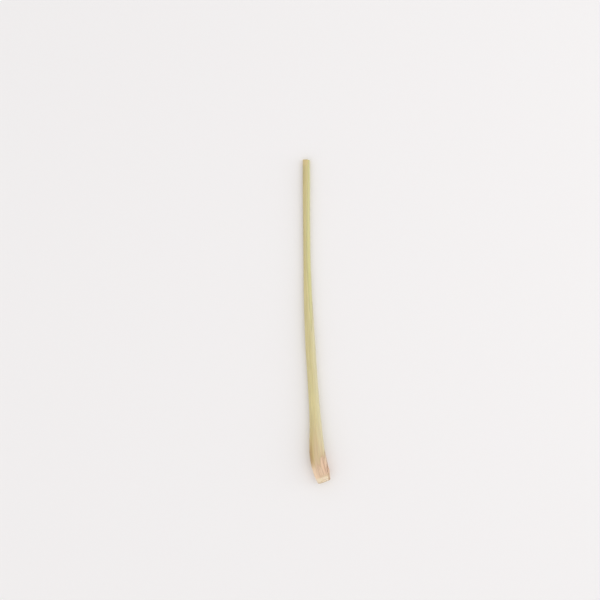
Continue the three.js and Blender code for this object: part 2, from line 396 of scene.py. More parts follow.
def rolled(name, shape, columns, rows, inner_share=0.3):
    """A sheath from a slab. shape(x, y, z) gives bearing, radius, along and distance to a margin."""
    bm = slab(columns, rows)
    sort_faces(bm, inner_share)
    grain = bm.verts.layers.float_vector.new("Grain")
    margin = bm.verts.layers.float.new("Margin")
    for vert in bm.verts:
        x, y, z = vert.co
        bearing, radius, along, to_margin = shape(x, y, z)
        vert[grain] = (bearing / 360 * GRAIN_ROUND, along, z)
        vert[margin] = to_margin
        vert.co = settled(bearing, radius, along)
    return finished(name, bm)


def finished(name, bm):
    mesh = bpy.data.meshes.new(name)
    bm.to_mesh(mesh)
    bm.free()
    piece = bpy.data.objects.new(name, mesh)
    bpy.context.scene.collection.objects.link(piece)
    return piece


def dress(piece, node, slot, *materials):
    """Gives the piece its materials and lets it stand for the solid that it refines."""
    for material in materials:
        piece.data.materials.append(material)
    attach(piece, "root")
    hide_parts(node)


def spread(start, end, share):
    """Rows that lie closer together near both ends."""
    return start + (end - start) * (share - CROWDING * math.sin(math.tau * share) / math.tau)


def ribs(bearing, along, stalk):
    """Height of the fine lengthwise ribs, in millimetres: 0 on a ridge, and below it in a furrow."""
    phase = bearing / 360 * stalk.rib_count + RIB_SWAY * wander(bearing / 40, along / 60, 5.0)
    rib = math.floor(phase + 0.5)
    uneven = RIB_EVEN + RIB_UNEVEN * wander(rib * 1.7, along / 55, 9.0)
    strength = mix(RIB_FAINT, 1.0, ease(*RIB_GROWS, along))
    return stalk.rib_depth / MM * uneven * strength * (0.5 * math.cos(math.tau * phase) - 0.5)


def dents(bearing, along, stalk):
    """Slow unevenness of a sheath, in millimetres, with a quicker one on top."""
    angle = math.radians(bearing)
    round_x, round_y = math.cos(angle), math.sin(angle)
    slow = wander(round_x * 1.1, round_y * 1.1, along / 34)
    quick = wander(round_x * 2.2, round_y * 2.2, along / 11 + 40)
    return stalk.dent_depth / MM * (slow + 0.35 * quick)


def knife(bearing, along, tip):
    """How far the leaf cut departs from a square one, in millimetres."""
    slant = KNIFE_SLANT * math.cos(math.radians(bearing - KNIFE_FACING)) - KNIFE_SHORT
    return (slant + KNIFE_ROUGH * wander(bearing / 11, tip, 31.0)) * ease(tip - KNIFE_REACH, tip, along)


# ---- the pieces


def make_outer_sheath(stalk):
    margin_width = stalk.margin_width / MM

    def shape(x, y, z):
        station = spread(FOOT, LENGTH, y)
        lapped = max(lap(station), -SEAM_OPEN) if station < OPENS[0] else lap(station)
        span = 360 + lapped
        turn = x * span
        stray = ragged(station, LIP_TEETH) * ease(*LIP_FREE, station) * (1 - ease(0, LIP_RAGGED, turn))
        bearing = lip_bearing(station) + turn + stray
        slant = foot_line(bearing) + ragged(bearing, FOOT_TEETH) - FOOT
        along = station + slant * max(0.0, 1 - (station - FOOT) / FOOT_REACH)
        along += knife(bearing, station, LENGTH)
        wall = fine_wall(along)
        lifted = lip_lift(station, margin_width)
        lift = lifted * wall + min(4 * lifted, 1) * FINE_CLEARANCE
        lift *= 1 - ease(lapped, lapped + LIP_RAMP, turn)
        to_foot = ease(0, FOOT_TAPER, along - foot_line(bearing))
        thick = wall * mix(FOOT_THIN, 1.0, to_foot)
        inner = half_width(along) + lift - FOOT_SINK * (1 - to_foot) - thick
        to_margin = min(turn, span - turn) * math.radians(1) * half_width(along)
        thin = mix(MARGIN_THIN, 1.0, ease(0, margin_width, to_margin))
        seam = 1 - SEAM_DIP * (1 - ease(0, SEAM_REACH, to_margin))
        thin = mix(seam, thin, ease(*LIP_FREE, along))
        relief = (ribs(bearing, along, stalk) + dents(bearing, along, stalk)) * z
        return bearing, inner + thick * thin * z + relief, along, to_margin

    return rolled("outer_sheath_fine", shape, columns=190, rows=205)


def room_within(along):
    return half_width(along) - fine_wall(along) - FINE_CLEARANCE


def wound_in(turn):
    """Radius of the roll's outer skin after so many turns, as a share of its room."""
    return 1 - FIRST_WINDING * min(turn, 1.0) - WINDING * max(turn - 1.0, 0.0)


def wound(name, stalk, start, turns, foot, tip, slit, columns, rows, shown):
    """A leaf wound in a spiral inside the outer sheath, from outside inwards.

    shown is the share of its columns that goes to its first turn, if that one can be seen, or 0.
    """

    def shape(x, y, z):
        along = spread(foot, tip, y)
        if x < shown:
            turn = FIRST_TURN * x / shown
        else:
            turn = mix(FIRST_TURN if shown else 0.0, turns, (x - shown) / (1 - shown))
        bearing = slit + 360 * turn
        room = room_within(along)
        outer = room * wound_in(start + turn)
        thick = room * mix(FIRST_WALL, WINDING_WALL, ease(*WALL_GROWS, start + turn))
        to_margin = min(turn, turns - turn) * math.tau * outer
        thin = mix(ROLL_EDGE, 1.0, ease(0, ROLL_MARGIN, to_margin))
        relief = filling = 0.0
        if z > 0.5 and start + turn < FIRST_TURN:
            filled = swell(bearing, along)
            filling = filled * (half_width(along) - SWELL_SHORT - outer)
            relief = mix(*SWELL_RIBS, filled) * ribs(bearing + SWELL_SHIFT, along, stalk)
            relief += filled * dents(bearing, along, stalk)
        cut = along + knife(bearing, along, tip)
        return bearing, outer - thick + (thick * thin + filling + relief) * z, cut, to_margin

    return rolled(name, shape, columns, rows, inner_share=0.4)


def make_old_sheath(stalk):
    right, left = REMNANT_BEARINGS

    def shape(x, y, z):
        bearing = mix(right, left, x)
        edge = torn_edge(bearing) + ragged(bearing, TORN_TEETH) - split_edge(bearing)
        foot = REMNANT_FOOT + ragged(bearing, TORN_FOOT_TEETH)
        along = mix(foot, edge, y)
        to_margin = min(bearing - right, left - bearing) * math.radians(1) * half_width(along)
        edge_thin, margin_width = TORN_MARGIN
        foot_thin, foot_width = TORN_FOOT
        off_foot = ease(0, foot_width, along - foot)
        thick = mix(*TORN_WALL, y) * mix(edge_thin, 1.0, ease(0, margin_width, to_margin))
        thick *= mix(foot_thin, 1.0, off_foot)
        crease = TORN_CREASE * wander(bearing / 5, along / 16, 55.0) + ribs(bearing, along + 40, stalk)
        curl = CURL_SHARE * REMNANT_CURL * y**3 * (CURL_EVEN + ragged(bearing, CURL_WAVES))
        gap = max(dents(bearing, along, stalk) + TORN_GAP, TORN_LEAST)
        radius = half_width(along) + gap + curl + (thick + crease * off_foot) * z
        return bearing, radius, along, min(edge - along, to_margin)

    return rolled("old_sheath_fine", shape, columns=230, rows=50)


def culm_outline():
    """The culm's outline from the middle of its cut face to its point inside, as (radius, along)."""

    def bare(along):
        return half_width(along) - CULM_STEP

    face = [(0.0, 0.30), (1.5, 0.26), (3.2, 0.16), (4.8, 0.06), (bare(0) - 0.75, 0.06)]
    rim = [(bare(0) - 0.3, 0.16), (bare(0.4) - 0.1, 0.4), (bare(0.8), 0.8), (bare(1.6), 1.6)]
    groove = [(bare(2.1) - 0.06, 2.1), (bare(2.4) - 0.17, 2.4), (bare(2.7) - 0.04, 2.7)]
    seat = [(bare(3.2) + 0.02, 3.2), (bare(4.2), 4.2), (bare(4.8) - 0.08, 4.8)]
    seat += [(bare(5.6) - 0.32, 5.6), (bare(6.5) - 0.7, 6.5), (5.6, 7.4), (4.4, 8.6), (3.1, 11.4)]
    return face + rim + groove + seat + [(1.9, 16.4), (1.0, 23.4), (0.0, 29.6)]


def spun(outline):
    """A mesh from an outline that is spun round the z axis."""
    bm = bmesh.new()
    points = [bm.verts.new((radius, 0.0, along)) for radius, along in outline]
    edges = [bm.edges.new(pair) for pair in zip(points, points[1:])]
    bmesh.ops.subdivide_edges(bm, edges=edges, cuts=3)
    bmesh.ops.spin(
        bm, geom=bm.verts[:] + bm.edges[:], cent=(0, 0, 0), axis=(0, 0, 1),
        angle=math.tau, steps=180, use_merge=True, use_duplicate=False,
    )
    bmesh.ops.remove_doubles(bm, verts=bm.verts[:], dist=1e-4)
    bmesh.ops.recalc_face_normals(bm, faces=bm.faces[:])
    for face in bm.faces:
        face.smooth = True
    return bm


def scar_at(bearing, radius, along):
    """1 on the raised ring of a root scar, less in the pit in its middle, and 0 away from it."""
    scar = 0.0
    for scar_bearing, scar_along in SCARS:
        apart = math.radians((bearing - scar_bearing + 180) % 360 - 180) * radius
        near = math.hypot(apart, along - scar_along) / SCAR_SIZE
        pit = SCAR_PIT * (1 - ease(*SCAR_PIT_FADES, near))
        scar = max(scar, 1 - ease(*SCAR_RING_FADES, near) - pit)
    facing = ease(*SCAR_TURNED, math.cos(math.radians(bearing - SCAR_FACING)))
    return scar * ease(*SCAR_RADII, radius) * mix(SCAR_FAINT, 1.0, facing)


def make_stem_base():
    """The culm's root end: a cut face, a node ring and the seats of the sheaths."""
    bm = spun(culm_outline())
    grain = bm.verts.layers.float_vector.new("Grain")
    scarred = bm.verts.layers.float.new("Scar")
    for vert in bm.verts:
        x, y, along = vert.co
        radius, bearing = math.hypot(x, y), math.degrees(math.atan2(y, x))
        share = min(max((along - RIM) / (FOOT - SEAT_GAP - RIM), 0.0), 1.0)
        slant = (foot_line(bearing) - FOOT) * (1 - ease(*SLANT_FADES, along))
        moved = along + slant * share + CUT_SLANT * x * (1 - share)
        rough = SKIN_ROUGH * wander(x / 1.1, y / 1.1, along / 1.6)
        rough += SKIN_UNEVEN * wander(x / 3.1, y / 3.1, along / 5 + 9)
        marks = CUT_ROUGH * wander(x / 1.6, y / 7.0, 3.0) * (1 - ease(*CUT_DEPTH, along))
        scar = scar_at(bearing, radius, along)
        vert[grain] = (x, along, y)
        vert[scarred] = scar
        bulge = (rough + SCAR_HEIGHT * scar) * ease(*SKIN_RADII, radius)
        vert.co = settled(bearing, radius + bulge, moved + marks)
    return finished("stem_base_fine", bm)


# ---- shader groups


def node(tree, kind, inputs=None, **values):
    """A new node. inputs gives its sockets a value or a link, values sets its own properties."""
    made = tree.nodes.new(kind)
    for name, value in values.items():
        setattr(made, name, value)
    for socket, value in (inputs or {}).items():
        if isinstance(value, bpy.types.NodeSocket):
            tree.links.new(value, made.inputs[socket])
        else:
            made.inputs[socket].default_value = value
    return made


def maths(tree, operation, *values):
    return node(tree, "ShaderNodeMath", dict(enumerate(values)), operation=operation).outputs[0]


def blend(tree, factor, first, second, mode="MIX"):
    """A mix of two colours. A colour given as three numbers becomes the socket's own value."""
    first, second = (
        value if isinstance(value, bpy.types.NodeSocket) else (*value, 1.0) for value in (first, second)
    )
    inputs = {0: factor, 6: first, 7: second}
    return node(tree, "ShaderNodeMix", inputs, data_type="RGBA", blend_type=mode).outputs[2]


def remap(tree, value, low, high, out_low=0.0, out_high=1.0, smooth=True):
    """out_low where the value is low or less, out_high where it is high or more, eased between."""
    inputs = {0: value, 1: low, 2: high, 3: out_low, 4: out_high}
    kind = "SMOOTHSTEP" if smooth else "LINEAR"
    return node(tree, "ShaderNodeMapRange", inputs, interpolation_type=kind, clamp=True).outputs[0]


def noise_at(tree, vector, scale, detail=3.0, roughness=0.55):
    inputs = {"Vector": vector, "Scale": scale, "Detail": detail, "Roughness": roughness}
    return node(tree, "ShaderNodeTexNoise", inputs).outputs["Fac"]


def grain_noise(tree, grain, width, length, detail=3.0, offset=0.0):
    """Noise drawn out along the stalk: features are this wide and long, in millimetres."""
    scaled = node(
        tree, "ShaderNodeMapping",
        {"Vector": grain, "Location": (offset, offset, 0.0), "Scale": (1 / width, 1 / length, 0.2)},
    ).outputs[0]
    return noise_at(tree, scaled, 1.0, detail)


def times(tree, first, *masks):
    for mask in masks:
        first = maths(tree, "MULTIPLY", first, mask)
    return first


def plus(tree, value, mask, amount):
    """The value, moved by a mask times an amount."""
    return maths(tree, "ADD", value, maths(tree, "MULTIPLY", mask, amount))


def away(tree, value, centre):
    return maths(tree, "ABSOLUTE", maths(tree, "SUBTRACT", value, centre))


def shade(tree, colour, mask, low, high):
    """The colour, darker or lighter by a mask's value."""
    return blend(tree, 1.0, colour, remap(tree, mask, 0.0, 1.0, low, high, smooth=False), "MULTIPLY")


def stain(tree, colour, mask, strength, stained):
    return blend(tree, maths(tree, "MULTIPLY", mask, strength), colour, stained)


def new_group(name, inputs, outputs):
    """A group that takes a grain and these other inputs, each with its default."""
    group = bpy.data.node_groups.new(name, "ShaderNodeTree")
    group.interface.new_socket("Grain", in_out="INPUT", socket_type="NodeSocketVector")
    for label, default in inputs.items():
        socket = group.interface.new_socket(label, in_out="INPUT", socket_type="NodeSocketFloat")
        socket.default_value = default
    for label in outputs:
        group.interface.new_socket(label, in_out="OUTPUT", socket_type="NodeSocketFloat")
    return group, group.nodes.new("NodeGroupInput"), group.nodes.new("NodeGroupOutput")


def shifted(tree, given):
    inputs = {0: given.outputs["Grain"], 1: given.outputs["Shift"]}
    return node(tree, "ShaderNodeVectorMath", inputs, operation="ADD").outputs[0]


def group_node(tree, group, **inputs):
    return node(tree, "ShaderNodeGroup", inputs, node_tree=group).outputs


def fibre_group():
    """Fine fibres and broader bands that run along a leaf."""
    inputs = {"Width": 0.3, "Shift": 0.0}
    tree, given, result = new_group("Leaf Fibres", inputs, ["Fibres", "Bands", "Height"])
    moved = shifted(tree, given)
    wide = maths(tree, "DIVIDE", 1.0, given.outputs["Width"])
    scale = node(tree, "ShaderNodeCombineXYZ", {0: wide, 1: 0.045, 2: 0.1}).outputs[0]
    drawn = node(tree, "ShaderNodeVectorMath", {0: moved, 1: scale}, operation="MULTIPLY").outputs[0]
    fibres = remap(tree, noise_at(tree, drawn, 1.0, 4.0, 0.6), 0.34, 0.66)
    bands = remap(tree, grain_noise(tree, moved, 2.6, 60.0, 2.0, 7.0), 0.33, 0.67)
    tree.links.new(fibres, result.inputs["Fibres"])
    tree.links.new(bands, result.inputs["Bands"])
    tree.links.new(plus(tree, fibres, bands, 0.6), result.inputs["Height"])
    return tree


def blemish_group():
    """Rusty flecks and short streaks, which follow the grain."""
    inputs = {"Amount": 0.5, "Shift": 0.0}
    tree, given, result = new_group("Rust Flecks", inputs, ["Flecks", "Streaks"])
    moved = shifted(tree, given)
    start = remap(tree, given.outputs["Amount"], 0.0, 1.0, 0.80, 0.60, smooth=False)
    flecks = grain_noise(tree, moved, 0.55, 1.7, 1.0, 3.0)
    flecks = remap(tree, flecks, start, maths(tree, "ADD", start, 0.07))
    begin = maths(tree, "SUBTRACT", start, 0.07)
    streaks = grain_noise(tree, moved, 0.42, 26.0, 2.0, 11.0)
    streaks = remap(tree, streaks, begin, maths(tree, "ADD", begin, 0.10))
    tree.links.new(flecks, result.inputs["Flecks"])
    tree.links.new(streaks, result.inputs["Streaks"])
    return tree


def new_material(name, roughness, specular=0.45, subsurface=0.08):
    material = bpy.data.materials.new(name)
    material.use_nodes = True
    tree = material.node_tree
    shader = tree.nodes["Principled BSDF"]
    values = {
        "Roughness": roughness, "Specular IOR Level": specular, "Subsurface Weight": subsurface,
        "Subsurface Radius": (1.0, 0.75, 0.35), "Subsurface Scale": 1.2 * MM,
    }
    for name, value in values.items():
        shader.inputs[name].default_value = value
    return material, tree, shader


def dress_shader(tree, shader, colour, height, depth, roughness=None):
    """Links a shader's colour, a bump of this depth in millimetres and, if it varies, its roughness."""
    tree.links.new(colour, shader.inputs["Base Color"])
    if roughness is not None:
        tree.links.new(roughness, shader.inputs["Roughness"])
    bump = node(tree, "ShaderNodeBump", {"Height": height, "Distance": depth * MM, "Strength": 1.0})
    tree.links.new(bump.outputs[0], shader.inputs["Normal"])


def attribute(tree, name, output="Vector"):
    return node(tree, "ShaderNodeAttribute", attribute_name=name).outputs[output]


def grain_parts(tree):
    """The grain, and its two parts: how far round the stalk, and how far along it."""
    grain = attribute(tree, "Grain")
    parts = node(tree, "ShaderNodeSeparateXYZ", {0: grain})
    return grain, parts.outputs[0], parts.outputs[1]


def at_bearing(degrees):
    return degrees / 360 * GRAIN_ROUND


def by_bearing(tree, around, start, end, low=0.0, high=1.0, smooth=True):
    """A mask that goes from low to high between two bearings."""
    return remap(tree, around, at_bearing(start), at_bearing(end), low, high, smooth)


# ---- materials
# A colour changes between two bearings or two distances along. The outer sheath's bearings run on
# from 74 at its lip, over the left side and the underside, to 434 where it is tucked in.

FOOT_ENDS, BULB_ENDS, TIP_STARTS = (14.0, 30.0), (30.0, 80.0), (150.0, 250.0)
# Bearings of the left side: the bulb is partly painted darker there, and the foot painted lighter.
LEFT_STARTS, LEFT_ENDS = (100, 136), (230, 300)
# Bearings over which the right side is painted paler, as a painted sheen.
RIGHT_STARTS, RIGHT_ENDS = (280, 350), (372, 440)
SHEEN_STARTS, GREEN_STARTS, BANDS_START = (26.0, 46.0), (90.0, 200.0), (30.0, 60.0)
MARGIN_PALES = (34.0, 60.0)
MARGIN_COLOUR = (0.74, 0.64, 0.40)
# The bulb's left flank turns brown: partly a brown stain, partly painted shade of the crevice where it
# lay against another stalk.
FLANK_STARTS, FLANK_ENDS = (112, 150), (185, 225)
FLANK_FROM, FLANK_TO = (17.0, 25.0), (30.0, 48.0)
FLANK_STAIN_AND_SHADE = (0.46, 0.285, 0.115)
DRIED_STARTS, DRIED_COLOUR = (LENGTH - 9.0, LENGTH - 3.0), (0.72, 0.56, 0.28)
TRIM_ENDS = (4.4, 6.2)
CORNER_AT, CORNER_REACH, CORNER_ENDS = 390, (-4, 26), (6.0, 9.5)
CORNER_BROWN = (0.46, 0.29, 0.175)
STREAK_RUST, FLECK_RUST = (0.36, 0.21, 0.085), (0.30, 0.16, 0.07)


def outer_material(finish, fibres, blemish):
    """Straw on the shaft, tan towards the leaf cut, buff to olive on the bulb, peach at the foot."""
    material, tree, shader = new_material("Outer sheath", 0.42)
    grain, around, along = grain_parts(tree)
    margin = attribute(tree, "Margin", "Fac")
    lines = group_node(tree, fibres, Grain=grain, Width=0.34, Shift=0.0)
    rust = group_node(tree, blemish, Grain=grain, Amount=0.35, Shift=5.0)
    wavering = plus(tree, along, lines["Bands"], 9.0)

    left = by_bearing(tree, around, *LEFT_STARTS)
    left = times(tree, left, by_bearing(tree, around, *LEFT_ENDS, 1.0, 0.0))
    # Olive towards the left: partly the bulb's colour, partly painted shade.
    bulb = blend(tree, left, finish.buff, finish.olive)
    # Pale peach on the left of the foot: painted light that makes up for the weaker light there.
    foot = blend(tree, left, finish.peach, finish.foot)
    bulb = blend(tree, remap(tree, wavering, *FOOT_ENDS, 1.0, 0.0), bulb, foot)
    colour = blend(tree, remap(tree, wavering, *BULB_ENDS), bulb, finish.straw)
    colour = blend(tree, remap(tree, along, *TIP_STARTS), colour, finish.tan)

    at_margin = remap(tree, margin, 0.0, 6.0, 0.3, 0.0)
    colour = blend(tree, times(tree, remap(tree, along, *GREEN_STARTS), at_margin), colour, finish.green)
    # Paler towards the right: a painted sheen on the side that the light falls on.
    right = times(
        tree,
        by_bearing(tree, around, *RIGHT_ENDS, 1.0, 0.2, smooth=False),
        by_bearing(tree, around, *RIGHT_STARTS),
        remap(tree, wavering, *SHEEN_STARTS),
    )
    colour = blend(tree, right, colour, finish.pale)
    bands = times(tree, lines["Bands"], remap(tree, along, *BANDS_START, 0.6, 1.0))
    colour = shade(tree, colour, bands, 0.93, 1.05)
    colour = shade(tree, colour, lines["Fibres"], 0.91, 1.06)

    # Brown on the bulb's left flank: partly a stain, partly painted shade of a crevice.
    flank = times(
        tree,
        by_bearing(tree, around, *FLANK_STARTS),
        by_bearing(tree, around, *FLANK_ENDS, 1.0, 0.0),
        remap(tree, wavering, *FLANK_FROM),
        remap(tree, wavering, *FLANK_TO, 0.75, 0.0),
    )
    colour = blend(tree, flank, colour, FLANK_STAIN_AND_SHADE)
    pale = remap(tree, maths(tree, "ADD", margin, lines["Fibres"]), 0.2, 1.6, 0.5, 0.0)
    pale = times(tree, pale, remap(tree, along, *MARGIN_PALES, 0.3, 1.0))
    colour = blend(tree, pale, colour, MARGIN_COLOUR)
    colour = stain(tree, colour, rust["Streaks"], 0.34, STREAK_RUST)
    colour = stain(tree, colour, rust["Flecks"], 0.32, FLECK_RUST)

    to_cut = maths(tree, "SUBTRACT", along, lines["Bands"])
    colour = blend(tree, remap(tree, to_cut, *DRIED_STARTS, 0.0, 0.6), colour, DRIED_COLOUR)
    trimmed = plus(tree, along, lines["Fibres"], 0.7)
    colour = blend(tree, remap(tree, trimmed, *TRIM_ENDS, 0.9, 0.0), colour, finish.cream)
    corner = plus(tree, away(tree, around, at_bearing(CORNER_AT)), lines["Fibres"], -0.8)
    corner = by_bearing(tree, corner, *CORNER_REACH, 0.75, 0.0)
    corner = times(tree, corner, remap(tree, trimmed, *CORNER_ENDS, 1.0, 0.0))
    colour = blend(tree, corner, colour, CORNER_BROWN)

    roughness = remap(tree, lines["Bands"], 0.0, 1.0, 0.36, 0.52)
    dress_shader(tree, shader, colour, lines["Height"], 0.045, roughness)
    return material


# The bearings of the right side, and the paler colour used there, make a painted sheen.
INNER_GREENS, INNER_SHEEN_BEARINGS = (60.0, 200.0), (5, 55)
INNER_PALE, INNER_SHEEN_COLOUR = (0.78, 0.72, 0.48), (0.665, 0.635, 0.35)
INNER_BAND, INNER_RUST = (0.70, 0.63, 0.36), (0.42, 0.27, 0.11)


def inner_material(name, finish, fibres, blemish, shift):
    """Fresh leaf: pale where it is covered below, yellow green above, with paler bands."""
    material, tree, shader = new_material(name, 0.38, subsurface=0.12)
    grain, around, along = grain_parts(tree)
    lines = group_node(tree, fibres, Grain=grain, Width=0.28, Shift=shift)
    rust = group_node(tree, blemish, Grain=grain, Amount=0.2, Shift=shift)
    colour = blend(tree, remap(tree, along, *INNER_GREENS), INNER_PALE, finish.green)
    # Paler on the right: a painted sheen on the side that the light falls on.
    right = by_bearing(tree, around, *INNER_SHEEN_BEARINGS, 1.0, 0.0)
    colour = blend(tree, right, colour, INNER_SHEEN_COLOUR)
    colour = shade(tree, colour, lines["Fibres"], 0.90, 1.08)
    colour = stain(tree, colour, lines["Bands"], 0.35, INNER_BAND)
    colour = stain(tree, colour, rust["Streaks"], 0.3, INNER_RUST)
    dress_shader(tree, shader, colour, lines["Height"], 0.035)
    return material


FLESH, FLESH_PORE, FLESH_BROWN = (0.80, 0.75, 0.50), (0.68, 0.62, 0.36), (0.50, 0.36, 0.17)


def cut_material():
    """Cut flesh at the ends of the sheaths: pale and moist, a little browned."""
    material, tree, shader = new_material("Cut flesh", 0.34, subsurface=0.15)
    place = node(tree, "ShaderNodeTexCoord").outputs["Object"]
    pores = noise_at(tree, place, 2600.0, 2.0)
    brown = noise_at(tree, place, 420.0)
    colour = blend(tree, remap(tree, pores, 0.42, 0.62), FLESH, FLESH_PORE)
    colour = blend(tree, remap(tree, brown, 0.5, 0.72, 0.0, 0.4), colour, FLESH_BROWN)
    dress_shader(tree, shader, colour, pores, 0.03)
    return material


# The old sheath is painted lighter on its left and paler towards its right: painted light.
REMNANT_LEFT, REMNANT_RIGHT, REMNANT_SHEEN_FROM = (60, 110), (30, 55), (11.0, 17.0)
REMNANT_SHEEN, REMNANT_BAND, REMNANT_STREAK = (0.88, 0.70, 0.52), (0.62, 0.42, 0.285), (0.40, 0.215, 0.135)
REMNANT_EDGE = (0.42, 0.26, 0.14)
# Bruised fibres of the old sheath: bearing, and the distances along between which they run.
BRUISES = [(15.0, 12.5, 21.5), (28.0, 9.0, 17.0), (42.0, 6.5, 14.5)]
BRUISE_FALL = 1.9  # how fast a bruise fades sideways, for each millimetre
BRUISE_DARK, BRUISE_HALO = (0.25, 0.12, 0.085), (0.45, 0.27, 0.19)
NO_BRUISE = 9.0  # anything well past a bruise's halo
RAGGED = 2.0  # how far the fibres draw out the ends of a bruise


def from_bruise(tree, around, along, fibres):
    """0 in the middle of the nearest bruise, 1 about its edge, and more further away."""
    nearest = NO_BRUISE
    ragged = plus(tree, along, fibres, RAGGED)
    for bearing, start, end in BRUISES:
        across = maths(tree, "MULTIPLY", away(tree, around, at_bearing(bearing)), BRUISE_FALL)
        across = plus(tree, across, fibres, 0.45)
        lengthways = away(tree, ragged, (start + end + RAGGED) / 2)
        lengthways = maths(tree, "POWER", maths(tree, "DIVIDE", lengthways, (end - start) / 2), 2.0)
        nearest = maths(tree, "MINIMUM", nearest, maths(tree, "ADD", across, lengthways))
    return nearest


def remnant_material(finish, fibres, blemish):
    """Dry old sheath: blushed, paler towards its torn edge, with lengthwise streaks and brown bruises."""
    material, tree, shader = new_material("Old sheath", 0.58, 0.35, 0.05)
    grain, around, along = grain_parts(tree)
    margin = attribute(tree, "Margin", "Fac")
    lines = group_node(tree, fibres, Grain=grain, Width=0.5, Shift=17.0)
    rust = group_node(tree, blemish, Grain=grain, Amount=0.72, Shift=23.0)

    # Lighter towards the left: pale peach, painted light that makes up for the weaker light there.
    left = by_bearing(tree, around, *REMNANT_LEFT)
    beneath = blend(tree, left, finish.peach, finish.foot)
    blushed = stain(tree, finish.blush, left, 0.85, finish.foot)
    fading = plus(tree, margin, lines["Bands"], -5.0)
    colour = blend(tree, remap(tree, fading, -4.0, 5.0), beneath, blushed)
    # Paler on the right towards the torn edge: a painted sheen on the side that the light falls on.
    pale = by_bearing(tree, around, *REMNANT_RIGHT, 0.6, 0.0)
    colour = blend(tree, times(tree, pale, remap(tree, along, *REMNANT_SHEEN_FROM)), colour, REMNANT_SHEEN)
    colour = stain(tree, colour, lines["Bands"], 0.35, REMNANT_BAND)
    colour = shade(tree, colour, lines["Fibres"], 0.88, 1.08)
    colour = stain(tree, colour, rust["Streaks"], 0.5, REMNANT_STREAK)

    bruise = from_bruise(tree, around, along, lines["Fibres"])
    colour = stain(tree, colour, remap(tree, bruise, 0.9, 2.6, 1.0, 0.0), 0.16, BRUISE_HALO)
    colour = stain(tree, colour, remap(tree, bruise, 0.45, 1.15, 1.0, 0.0), 0.92, BRUISE_DARK)
    edge = remap(tree, maths(tree, "SUBTRACT", margin, lines["Fibres"]), -0.7, 0.35, 0.4, 0.0)
    colour = blend(tree, edge, colour, REMNANT_EDGE)

    roughness = remap(tree, lines["Bands"], 0.0, 1.0, 0.5, 0.68)
    dress_shader(tree, shader, colour, lines["Height"], 0.07, roughness)
    return material


CREAM_SHADE = 0.86  # the darker threads of the culm's skin, as a share of its cream
GROOVE_AT, GROOVE_BROWN = 2.4, (0.50, 0.33, 0.17)
SCAR_BROWN = (0.27, 0.14, 0.065)
FACE, FACE_ENDS = (0.82, 0.70, 0.48), (0.35, 0.6)
VEIN_BROWN, SPECKLE_BROWN = (0.46, 0.31, 0.15), (0.54, 0.38, 0.20)
RING_AT, RING_BROWN = 4.9, (0.48, 0.33, 0.17)
RIM_AT, RIM_BROWN = 0.5, (0.34, 0.215, 0.115)
EDGE_AT, EDGE_STARTS, EDGE_BROWN = 32, (4.4, 5.8), (0.42, 0.26, 0.15)  # a bearing, and two radii


def culm_face(tree, radius, across, speckle):
    """Colour of the cut face, and the dots of its veins."""
    cells = node(tree, "ShaderNodeTexVoronoi", {"Vector": across, "Scale": 1.35, "Randomness": 0.9})
    dots = remap(tree, cells.outputs["Distance"], 0.16, 0.32, 1.0, 0.0)
    face = stain(tree, FACE, dots, 0.45, VEIN_BROWN)
    ring = remap(tree, away(tree, radius, RING_AT), 0.15, 0.6, 0.35, 0.0)
    face = blend(tree, ring, face, RING_BROWN)
    face = blend(tree, remap(tree, speckle, 0.45, 0.75, 0.0, 0.45), face, SPECKLE_BROWN)
    return face, dots


def culm_material(finish):
    """Culm: cream, browned in the node's groove, on the scars and on the rim of the cut face."""
    material, tree, shader = new_material("Culm", 0.5, subsurface=0.12)
    grain = attribute(tree, "Grain")
    scar = attribute(tree, "Scar", "Fac")
    x, along, y = node(tree, "ShaderNodeSeparateXYZ", {0: grain}).outputs
    across = node(tree, "ShaderNodeCombineXYZ", {0: x, 1: y}).outputs[0]
    radius = node(tree, "ShaderNodeVectorMath", {0: across}, operation="LENGTH").outputs["Value"]
    speckle = noise_at(tree, grain, 1.6, 4.0)
    drawn = node(tree, "ShaderNodeMapping", {"Vector": grain, "Scale": (2.4, 0.25, 2.4)}).outputs[0]
    threads = noise_at(tree, drawn, 1.0)

    darker = tuple(part * CREAM_SHADE for part in finish.cream)
    colour = blend(tree, remap(tree, threads, 0.35, 0.65), darker, finish.cream)
    groove = plus(tree, away(tree, along, GROOVE_AT), speckle, 0.7)
    colour = blend(tree, remap(tree, groove, 0.25, 0.85, 0.5, 0.0), colour, GROOVE_BROWN)
    colour = stain(tree, colour, scar, 0.95, SCAR_BROWN)
    face, dots = culm_face(tree, radius, across, speckle)
    colour = blend(tree, remap(tree, along, *FACE_ENDS, 1.0, 0.0), colour, face)
    rim = plus(tree, away(tree, along, RIM_AT), threads, 0.5)
    colour = blend(tree, remap(tree, rim, 0.2, 0.65, 0.75, 0.0), colour, RIM_BROWN)
    edge = away(tree, maths(tree, "ARCTAN2", y, x), math.radians(EDGE_AT))
    edge = remap(tree, plus(tree, edge, threads, 0.2), 0.1, 0.5, 0.75, 0.0)
    colour = blend(tree, times(tree, edge, remap(tree, radius, *EDGE_STARTS)), colour, EDGE_BROWN)

    roughness = remap(tree, speckle, 0.3, 0.7, 0.42, 0.62)
    dress_shader(tree, shader, colour, plus(tree, speckle, dots, -0.35), 0.07, roughness)
    return material


# ---- operators

SHARED = {}


def shared(key, build):
    """A group or material that several pieces use, built when first asked for."""
    if key not in SHARED:
        SHARED[key] = build()
    return SHARED[key]


def leaf_groups():
    return shared("fibres", fibre_group), shared("flecks", blemish_group)


